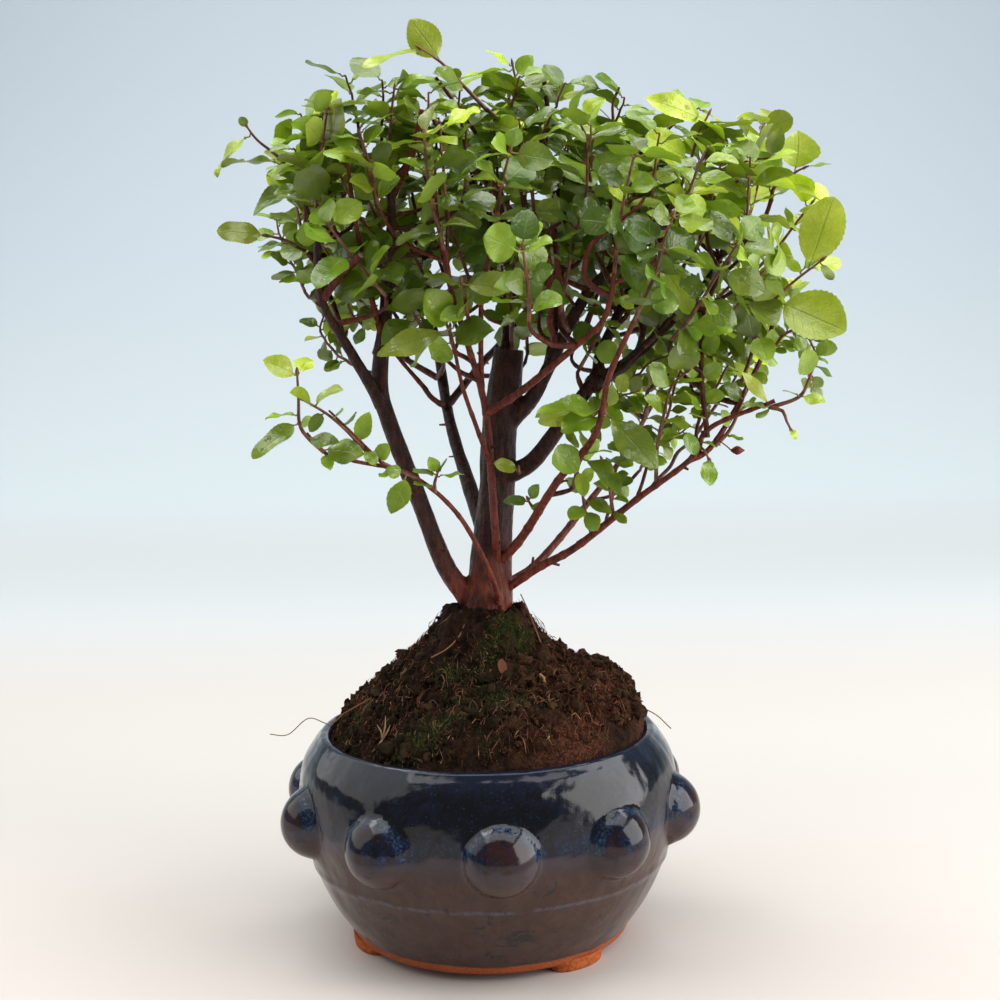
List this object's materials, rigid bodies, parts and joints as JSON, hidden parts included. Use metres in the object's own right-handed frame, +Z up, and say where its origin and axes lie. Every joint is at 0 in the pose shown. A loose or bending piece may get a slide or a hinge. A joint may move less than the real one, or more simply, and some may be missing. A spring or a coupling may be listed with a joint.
{
  "type": "potted sweet plum bonsai tree",
  "caption": "Broom-shaped sweet plum bonsai with ovate leaves on slim branching limbs, rooted in a soil mound in a squat glazed bowl with round knobs.",
  "frame": {"origin": "middle of the whole object's bounding box, on the surface that the pot's feet stand on", "axes": "+Z up along the pot's axis and the trunk; -Y toward the front of the tree, as it is pictured; +X to the right in that view"},
  "size_m": [0.1945, 0.1556, 0.2928],
  "materials": {
    "glaze": "gloss",
    "soil": "matte",
    "bark": "matte",
    "leaf": "satin"
  },
  "bodies": {
    "root": {"pot": "glaze", "soil": "soil", "tree": "bark", "shoot_01": "leaf", "shoot_02": "leaf", "shoot_03": "leaf", "shoot_04": "leaf", "shoot_05": "leaf", "shoot_06": "leaf", "shoot_07": "leaf", "shoot_08": "leaf", "shoot_09": "leaf", "shoot_10": "leaf", "shoot_11": "leaf", "shoot_12": "leaf", "shoot_13": "leaf", "shoot_14": "leaf", "shoot_15": "leaf", "shoot_16": "leaf", "shoot_17": "leaf", "shoot_18": "leaf", "shoot_19": "leaf", "shoot_20": "leaf", "shoot_21": "leaf", "shoot_22": "leaf", "shoot_23": "leaf", "shoot_24": "leaf", "shoot_25": "leaf", "shoot_26": "leaf", "shoot_27": "leaf", "shoot_28": "leaf", "shoot_29": "leaf", "shoot_30": "leaf", "shoot_31": "leaf", "shoot_32": "leaf", "shoot_33": "leaf", "shoot_34": "leaf", "shoot_35": "leaf", "shoot_36": "leaf", "shoot_37": "leaf", "shoot_38": "leaf", "shoot_39": "leaf", "shoot_40": "leaf", "shoot_41": "leaf", "shoot_42": "leaf", "shoot_43": "leaf", "shoot_44": "leaf", "shoot_45": "leaf", "shoot_46": "leaf", "shoot_47": "leaf", "shoot_48": "leaf", "shoot_49": "leaf", "shoot_50": "leaf", "shoot_51": "leaf", "shoot_52": "leaf", "shoot_53": "leaf", "shoot_54": "leaf", "shoot_55": "leaf", "shoot_57": "leaf", "shoot_58": "leaf"}
  },
  "joints": []
}
